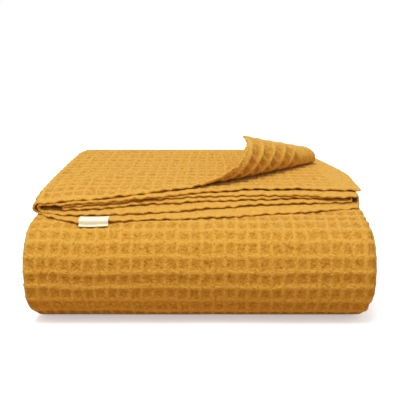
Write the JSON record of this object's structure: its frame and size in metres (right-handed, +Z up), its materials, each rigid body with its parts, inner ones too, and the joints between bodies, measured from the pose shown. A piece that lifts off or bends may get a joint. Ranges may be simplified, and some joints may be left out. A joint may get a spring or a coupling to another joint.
{
  "type": "waffle weave cotton blanket",
  "caption": "Waffle weave cotton blanket folded into a flat rectangular pile, with an open hemmed flap on top whose front corner is turned back and a small blank sewn-in label.",
  "frame": {"origin": "middle of the pile's bounding box, on the surface that it rests on", "axes": "+X along the long front fold towards the free side edges, +Y from the front face to the back, +Z up"},
  "size_m": [0.3686, 0.3334, 0.1642],
  "materials": {
    "cotton": "matt woven waffle",
    "label_tape": "fine woven tape"
  },
  "bodies": {
    "root": {"blanket": "cotton", "label": "label_tape"}
  },
  "joints": []
}
